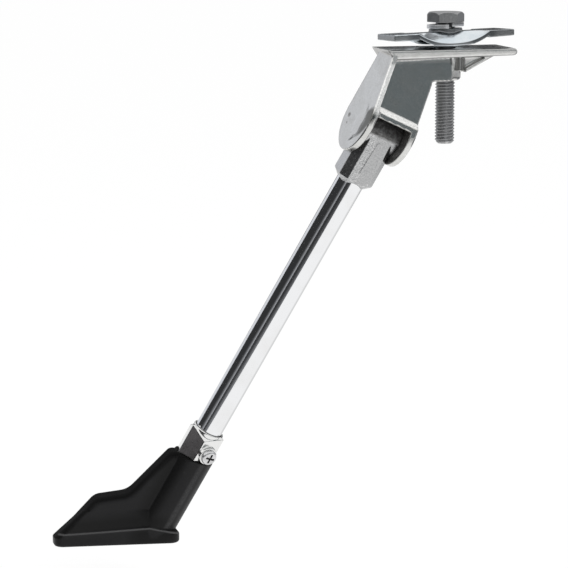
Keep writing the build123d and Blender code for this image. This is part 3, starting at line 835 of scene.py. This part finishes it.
# %% [markdown]
# The boot is moulded in a hard black plastic with a satin, faintly grained skin. Its edges catch
# the light first and are painted lighter as a painted highlight. The rim of its tread and one
# streak down its round side carry a painted highlight. The hollow above the rim and beside the
# round sock, the sock's far side and the edges that face up carry painted shade: they are the
# blackest places.

# %% Finish of the boot
SOCK_RADIUS = 10.4
DARK_SIDE = round_leg(62.0)
HIGHLIGHT_SIDE = round_leg(-15.0)

black = new_finish("boot_black")
leather = cloud(black, 0.5 * MM, 3.0, 0.6)
scuffs = cut(black, cloud(black, 8 * MM, 4.0, 0.6), 0.52, 0.75)
# Painted highlight: the edges are painted lighter.
edge_highlight = cut(black, edge_share(black), 0.52, 0.60)
black_colour = two_colours(black, 0.4 * scuffs + 0.6 * edge_highlight,
                           (0.0045, 0.0045, 0.005, 1.0), (0.010, 0.010, 0.0105, 1.0))
rise = over_rim(black)
from_leg = off_line(black, PIN, DOWN)
low_side = cut(black, rise, 0.5, 1.2) * (1 - cut(black, rise, 5.0, 9.5))
off_sock = cut(black, from_leg, SOCK_RADIUS + 0.1, SOCK_RADIUS + 0.5)
beside_sock = off_sock * (1 - cut(black, from_leg, 12.5, 17.0))
sock_side = cut(black, facing(black, DARK_SIDE), 0.75, 0.95)
upper_edge = cut(black, facing(black, UP), 0.10, 0.45)
# Painted shade: above the rim, beside the sock, on the sock's far side and on the edges facing up.
shaded_hollow = larger(black, larger(black, low_side, upper_edge), larger(black, beside_sock, sock_side))
deep_black = two_colours(black, 0.95 * shaded_hollow, black_colour, (0.0004, 0.0004, 0.0004, 1.0))
on_rim = 1 - cut(black, size_of(black, rise), 0.25, 0.65)
# Painted highlight along the tread's rim.
rim_highlight = on_rim * cut(black, facing(black, FRONT_SIDE), 0.0, 0.3)
# Painted highlight: one streak down the sock's round side.
sock_highlight = cut(black, facing(black, HIGHLIGHT_SIDE), 0.982, 0.999) * cut(black, leather, 0.30, 0.60)
boot_highlights = larger(black, rim_highlight, 0.6 * sock_highlight)
BOOT_BLACK = coat(black, {
    "Base Color": two_colours(black, boot_highlights, deep_black, (0.045, 0.045, 0.046, 1.0)),
    "Specular IOR Level": 0.22,
    "Roughness": 0.42 + 0.06 * scuffs + 0.06 * leather + 0.40 * upper_edge,
    "Normal": raise_by(black, leather, 0.02 * MM),
})
print("finish:", BOOT_BLACK.name)

# %% [markdown]
# A casting or a moulding has no sharp edges: the melt rounds the outer ones and fills the inner
# ones. Bevelling every edge by hand would be slow and would miss the inner corners, so the solid's
# copy is skinned again with small even faces and then eased, which rounds both kinds at once and
# leaves the flats flat. The size of the faces and the number of easing passes set how soft the
# piece becomes.

# %% Softened copies of the solids
WELD_WITHIN = 0.002 * MM
EASE = 0.5


def weld(mesh):
    shape = bmesh.new()
    shape.from_mesh(mesh)
    bmesh.ops.remove_doubles(shape, verts=shape.verts, dist=WELD_WITHIN)
    shape.to_mesh(mesh)
    shape.free()


def settle(piece):
    seen = bpy.context.evaluated_depsgraph_get()
    done = bpy.data.meshes.new_from_object(piece.evaluated_get(seen))
    rough = piece.data
    piece.modifiers.clear()
    piece.data = done
    bpy.data.meshes.remove(rough)
    done.name = piece.name


def soften(piece, face, passes):
    skin = piece.modifiers.new("skin", "REMESH")
    skin.mode = "VOXEL"
    skin.voxel_size = face
    skin.use_smooth_shade = True
    easing = piece.modifiers.new("ease", "SMOOTH")
    easing.factor = EASE
    easing.iterations = passes
    settle(piece)


def put(piece, body, slot, finish, *nodes):
    piece.data.materials.clear()
    piece.data.materials.append(finish)
    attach(piece, body)
    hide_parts(*nodes)
    print(piece.name, len(piece.data.polygons), "faces")


def copy_of(node, name):
    mesh = frame["nodes"][node].data.copy()
    mesh.name = name
    weld(mesh)
    return placed(name, mesh)


print("copies can be softened")

# %% [markdown]
# Some small forms are part of the casting but too slight for the solid: the bracket's panel runs
# level into its bolt boss, the outer ear's front edge slopes outwards, the fold pin's end is cast
# over on the outside, the mould left a raised line on the knuckle, and the boot's tread has a thin
# rim. Each is a convex lump put into the copy, and the new skin melts it in.

# %% Adding a lump to a copy
def mesh_of(shape, name):
    mesh = bpy.data.meshes.new(name)
    shape.to_mesh(mesh)
    shape.free()
    return mesh


def join(piece, mesh):
    shape = bmesh.new()
    shape.from_mesh(piece.data)
    shape.from_mesh(mesh)
    shape.to_mesh(piece.data)
    shape.free()
    bpy.data.meshes.remove(mesh)


def add_lump(piece, corners):
    lump = bmesh.new()
    bmesh.ops.convex_hull(lump, input=[lump.verts.new(c) for c in corners])
    join(piece, mesh_of(lump, "lump"))


def ball(centre, radius):
    spread = [(x, y, z) for x in (-1, 0, 1) for y in (-1, 0, 1) for z in (-1, 0, 1) if x or y or z]
    return [centre + Vector(c).normalized() * radius for c in spread]


print("lumps can be added")

# %% [markdown]
# The panel and the ear's front edge lean alike, so one function places points on either, or over
# and under it. The other lumps are measured straight from the fold pin.

# %% Lumps of the bracket and the knuckle
PANEL_SLOPE = 0.510
SLOPE_SINE = 0.454
SLOPE_COSINE = 0.891
PANEL_LEVEL = 15.50
PANEL_DEPTH = 1.8
EAR_LEVEL = 18.19
CAP_RADIUS = 5.2
CAP_INNER = 10.7
CAP_OUTER = 11.78
CAP_STEPS = 24
MOULD_LINE_HALF = 0.4
MOULD_LINE_ROOT = 8.3
MOULD_LINE_TOP = 8.98


def sloped_point(level, across, down, over):
    front = level + PANEL_SLOPE * down
    return leg_point(across, down - SLOPE_SINE * over, front + SLOPE_COSINE * over)


def cap_point(across, degrees):
    turn = math.radians(degrees)
    return leg_point(across, CAP_RADIUS * math.cos(turn), CAP_RADIUS * math.sin(turn))


panel = [(11.4, -35.5), (9.6, -12.8), (-12.9, -12.8), (-12.9, -33.0), (-10.5, -37.0), (-5.0, -41.5)]
panel_lump = [sloped_point(PANEL_LEVEL, a, d, over) for a, d in panel
              for over in (0.0, -PANEL_DEPTH)]
ear_section = ((13.0, -0.1), (10.7, 1.0), (10.1, -1.0))
ear_lump = [sloped_point(EAR_LEVEL, a, d, over) for d in (-37.0, -12.0) for a, over in ear_section]
ear_lump.append(sloped_point(EAR_LEVEL, 12.0, -8.5, -0.6))
cap_turns = [360 / CAP_STEPS * k for k in range(CAP_STEPS)]
cap_lump = [cap_point(a, degrees) for degrees in cap_turns for a in (CAP_INNER, CAP_OUTER)]
mould_ends = ((0.4, 2.6), (1.2, 20.6))
mould_lump = [leg_point(a + side, d, front) for a, d in mould_ends
              for side in (-MOULD_LINE_HALF, MOULD_LINE_HALF)
              for front in (MOULD_LINE_ROOT, MOULD_LINE_TOP)]
print("lumps: panel, ear edge, pin cap, mould line")

# %% [markdown]
# The clamp is not tightened, so its plate and washer rock on the bracket by what the bolt's hole
# allows. Two small turns and a lift of 0.6 mm set them as they lay on the table.
# The press also left the plate's two wings a little deeper than the sheet between them.

# %% Loose clamp
SEAT = Vector((0, 0, 7.6)) * MM
ROCK_ABOUT_X = math.radians(-2.2)
ROCK_ABOUT_Y = math.radians(1.4)
ROCK = Matrix.Rotation(ROCK_ABOUT_X, 4, "X") @ Matrix.Rotation(ROCK_ABOUT_Y, 4, "Y")
LIFT = Matrix.Translation((0, 0, 0.62 * MM))
ASKEW = LIFT @ Matrix.Translation(SEAT) @ ROCK @ Matrix.Translation(-SEAT)
WING_START = 17.5 * MM
WING_DEEPER = Vector((0, 0, 0.9)) * MM
print("clamp lifted", round(LIFT.translation.z / MM, 2), "mm")

# %% [markdown]
# Now the four large pieces: the bracket, the knuckle, the boot and the clamp plate. Each is a copy
# of its solid with its lumps, softened as much as its casting or pressing was.

# %% Castings, boot and clamp plate
TREAD_RIM = 0.6 * MM

bracket = copy_of("mount_bracket", "bracket_casting")
add_lump(bracket, panel_lump)
add_lump(bracket, cap_lump)
add_lump(bracket, ear_lump)
soften(bracket, face=0.4 * MM, passes=14)
put(bracket, "bracket", "cast_bright", CAST_BRIGHT, "mount_bracket")

knuckle = copy_of("leg_knuckle", "knuckle_casting")
add_lump(knuckle, mould_lump)
soften(knuckle, face=0.3 * MM, passes=7)
put(knuckle, "leg", "cast_grey", CAST_GREY, "leg_knuckle")

boot = copy_of("foot_boot", "boot_moulding")
for start, end in zip(tread, tread[1:]):
    add_lump(boot, ball(Vector(start) * MM, TREAD_RIM) + ball(Vector(end) * MM, TREAD_RIM))
soften(boot, face=0.4 * MM, passes=4)
put(boot, "foot", "boot_black", BOOT_BLACK, "foot_boot")

clamp = copy_of("clamp_plate", "clamp_pressing")
for side in (-1, 1):
    wing = [v.co.copy() for v in clamp.data.vertices if v.co.x * side > WING_START]
    add_lump(clamp, wing + [point - WING_DEEPER for point in wing])
soften(clamp, face=0.3 * MM, passes=10)
clamp.data.transform(ASKEW)
put(clamp, "clamp", "zinc_sheet", ZINC_SHEET, "clamp_plate")

# %% [markdown]
# The small hardware keeps crisper edges, so its copies get fewer easing passes, and the smallest
# of them finer faces as well.

# %% Washer, collar, screw and pin
washer = copy_of("lock_washer", "spring_washer")
soften(washer, face=0.16 * MM, passes=2)
washer.data.transform(ASKEW)
put(washer, "clamp", "bolt_steel", BOLT_STEEL, "lock_washer")

collar = copy_of("foot_collar", "collar_casting")
soften(collar, face=0.3 * MM, passes=3)
put(collar, "foot", "collar_bright", COLLAR_BRIGHT, "foot_collar")

screw = copy_of("collar_screw", "cross_head_screw")
soften(screw, face=0.12 * MM, passes=2)
put(screw, "foot", "screw_steel", SCREW_STEEL, "collar_screw")

pin = copy_of("pivot_pin", "fold_pin")
soften(pin, face=0.3 * MM, passes=2)
put(pin, "bracket", "pin_steel", PIN_STEEL, "pivot_pin")

# %% [markdown]
# A mirror finish shows every flat face, so the tube is not copied from its solid: its outline is
# turned round the leg's axis in 128 steps, with the cut ends broken like a deburred tube.

# %% Tube
TUBE_RADIUS = 7.0 * MM
TUBE_BORE = 5.6 * MM
TUBE_START = 14.0 * MM
TUBE_END = 212.0 * MM
DEBURR = 0.25 * MM
TUBE_STEPS = 128
SHARP_OVER = math.radians(30)


def turned(name, outline, steps, centre, along, first):
    second = along.cross(first)
    shape = bmesh.new()
    rings = []
    for i in range(steps):
        turn = 2 * math.pi * i / steps
        out = first * math.cos(turn) + second * math.sin(turn)
        places = [centre + along * far + out * radius for radius, far in outline]
        rings.append([shape.verts.new(place) for place in places])
    for ring, after in zip(rings, rings[1:] + rings[:1]):
        for k in range(len(outline)):
            shape.faces.new((ring[k - 1], ring[k], after[k], after[k - 1]))
    bmesh.ops.recalc_face_normals(shape, faces=shape.faces)
    return placed(name, mesh_of(shape, name))


tube_outline = [
    (TUBE_BORE, TUBE_START + DEBURR), (TUBE_BORE + DEBURR, TUBE_START),
    (TUBE_RADIUS - DEBURR, TUBE_START), (TUBE_RADIUS, TUBE_START + DEBURR),
    (TUBE_RADIUS, TUBE_END - DEBURR), (TUBE_RADIUS - DEBURR, TUBE_END),
    (TUBE_BORE + DEBURR, TUBE_END), (TUBE_BORE, TUBE_END - DEBURR),
]
tube = turned("chromed_tube", tube_outline, TUBE_STEPS, PIN, DOWN, ACROSS)
tube.data.shade_smooth()
tube.data.set_sharp_from_angle(angle=SHARP_OVER)
put(tube, "leg", "chrome_tube", CHROME_TUBE, "leg_tube")

# %% [markdown]
# The bolt's thread is real geometry: a fine ridge that climbs 1.5 mm in each turn. A screw
# modifier could sweep the ridge, but a shank whose radius is worked out from its height and angle
# gives one clean skin that fades out at the chamfered end.

# %% Threaded shank
PITCH = 1.5 * MM
THREAD_TOP = 4.8 * MM
THREAD_ROOT = 4.15 * MM
ROOT_FLAT = 0.12
FLANK = 0.70
HEAD_HEIGHT = 5.0 * MM
INTO_HEAD = 0.3 * MM
END_CHAMFER = 1.4 * MM
STEPS_ROUND = 48
STEPS_PER_TURN = 10

bolt_low, bolt_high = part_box("clamp_bolt")
head_under = bolt_high.z - HEAD_HEIGHT


def ridge(height, turn):
    share = (height / PITCH - turn / (2 * math.pi)) % 1.0
    slope = abs(2 * share - 1.0)
    return min(max((slope - ROOT_FLAT) / FLANK, 0.0), 1.0)


def thread_radius(height, turn):
    radius = THREAD_ROOT + (THREAD_TOP - THREAD_ROOT) * ridge(height, turn)
    from_end = height - bolt_low.z
    return min(radius, THREAD_TOP - END_CHAMFER + from_end)


shank = bmesh.new()
row_count = round((head_under + INTO_HEAD - bolt_low.z) / PITCH * STEPS_PER_TURN)
rows = []
for j in range(row_count + 1):
    height = bolt_low.z + PITCH * j / STEPS_PER_TURN
    row = []
    for i in range(STEPS_ROUND):
        turn = 2 * math.pi * i / STEPS_ROUND
        radius = thread_radius(height, turn)
        row.append(shank.verts.new((radius * math.cos(turn), radius * math.sin(turn), height)))
    rows.append(row)
for lower, upper in zip(rows, rows[1:]):
    for i in range(STEPS_ROUND):
        k = (i + 1) % STEPS_ROUND
        shank.faces.new((lower[i], lower[k], upper[k], upper[i]))
shank.faces.new(list(reversed(rows[0])))
shank.faces.new(rows[-1])
print("shank:", len(rows), "rows")

# %% [markdown]
# The head is taken from the solid: a copy of the bolt is sliced off just above the underside of its
# head and closed again, softened like the other hardware, and joined to the new shank.

# %% Bolt
SLICE_OVER = 0.02 * MM

bolt = copy_of("clamp_bolt", "hex_bolt")
head = bmesh.new()
head.from_mesh(bolt.data)
everything = head.verts[:] + head.edges[:] + head.faces[:]
sliced = bmesh.ops.bisect_plane(head, geom=everything, plane_co=(0, 0, head_under + SLICE_OVER),
                                plane_no=UP, clear_inner=True)
rim = [e for e in sliced["geom_cut"] if isinstance(e, bmesh.types.BMEdge)]
bmesh.ops.contextual_create(head, geom=rim)
head.to_mesh(bolt.data)
head.free()
soften(bolt, face=0.2 * MM, passes=3)
join(bolt, mesh_of(shank, "shank"))
bolt.data.shade_smooth()
bolt.data.transform(LIFT)
put(bolt, "bolt", "bolt_steel", BOLT_STEEL, "clamp_bolt")

# %% [markdown]
# The plunger, its spring and the spring's seat sit inside the leg and are only glimpsed at the
# fork, so they keep their own solids and take the oiled steel.

# %% Parts inside the leg
for name in ("detent_plunger", "detent_spring", "spring_seat"):
    inner = frame["nodes"][name]
    inner.data.materials.clear()
    inner.data.materials.append(PIN_STEEL)
    print(name, "keeps its solid")
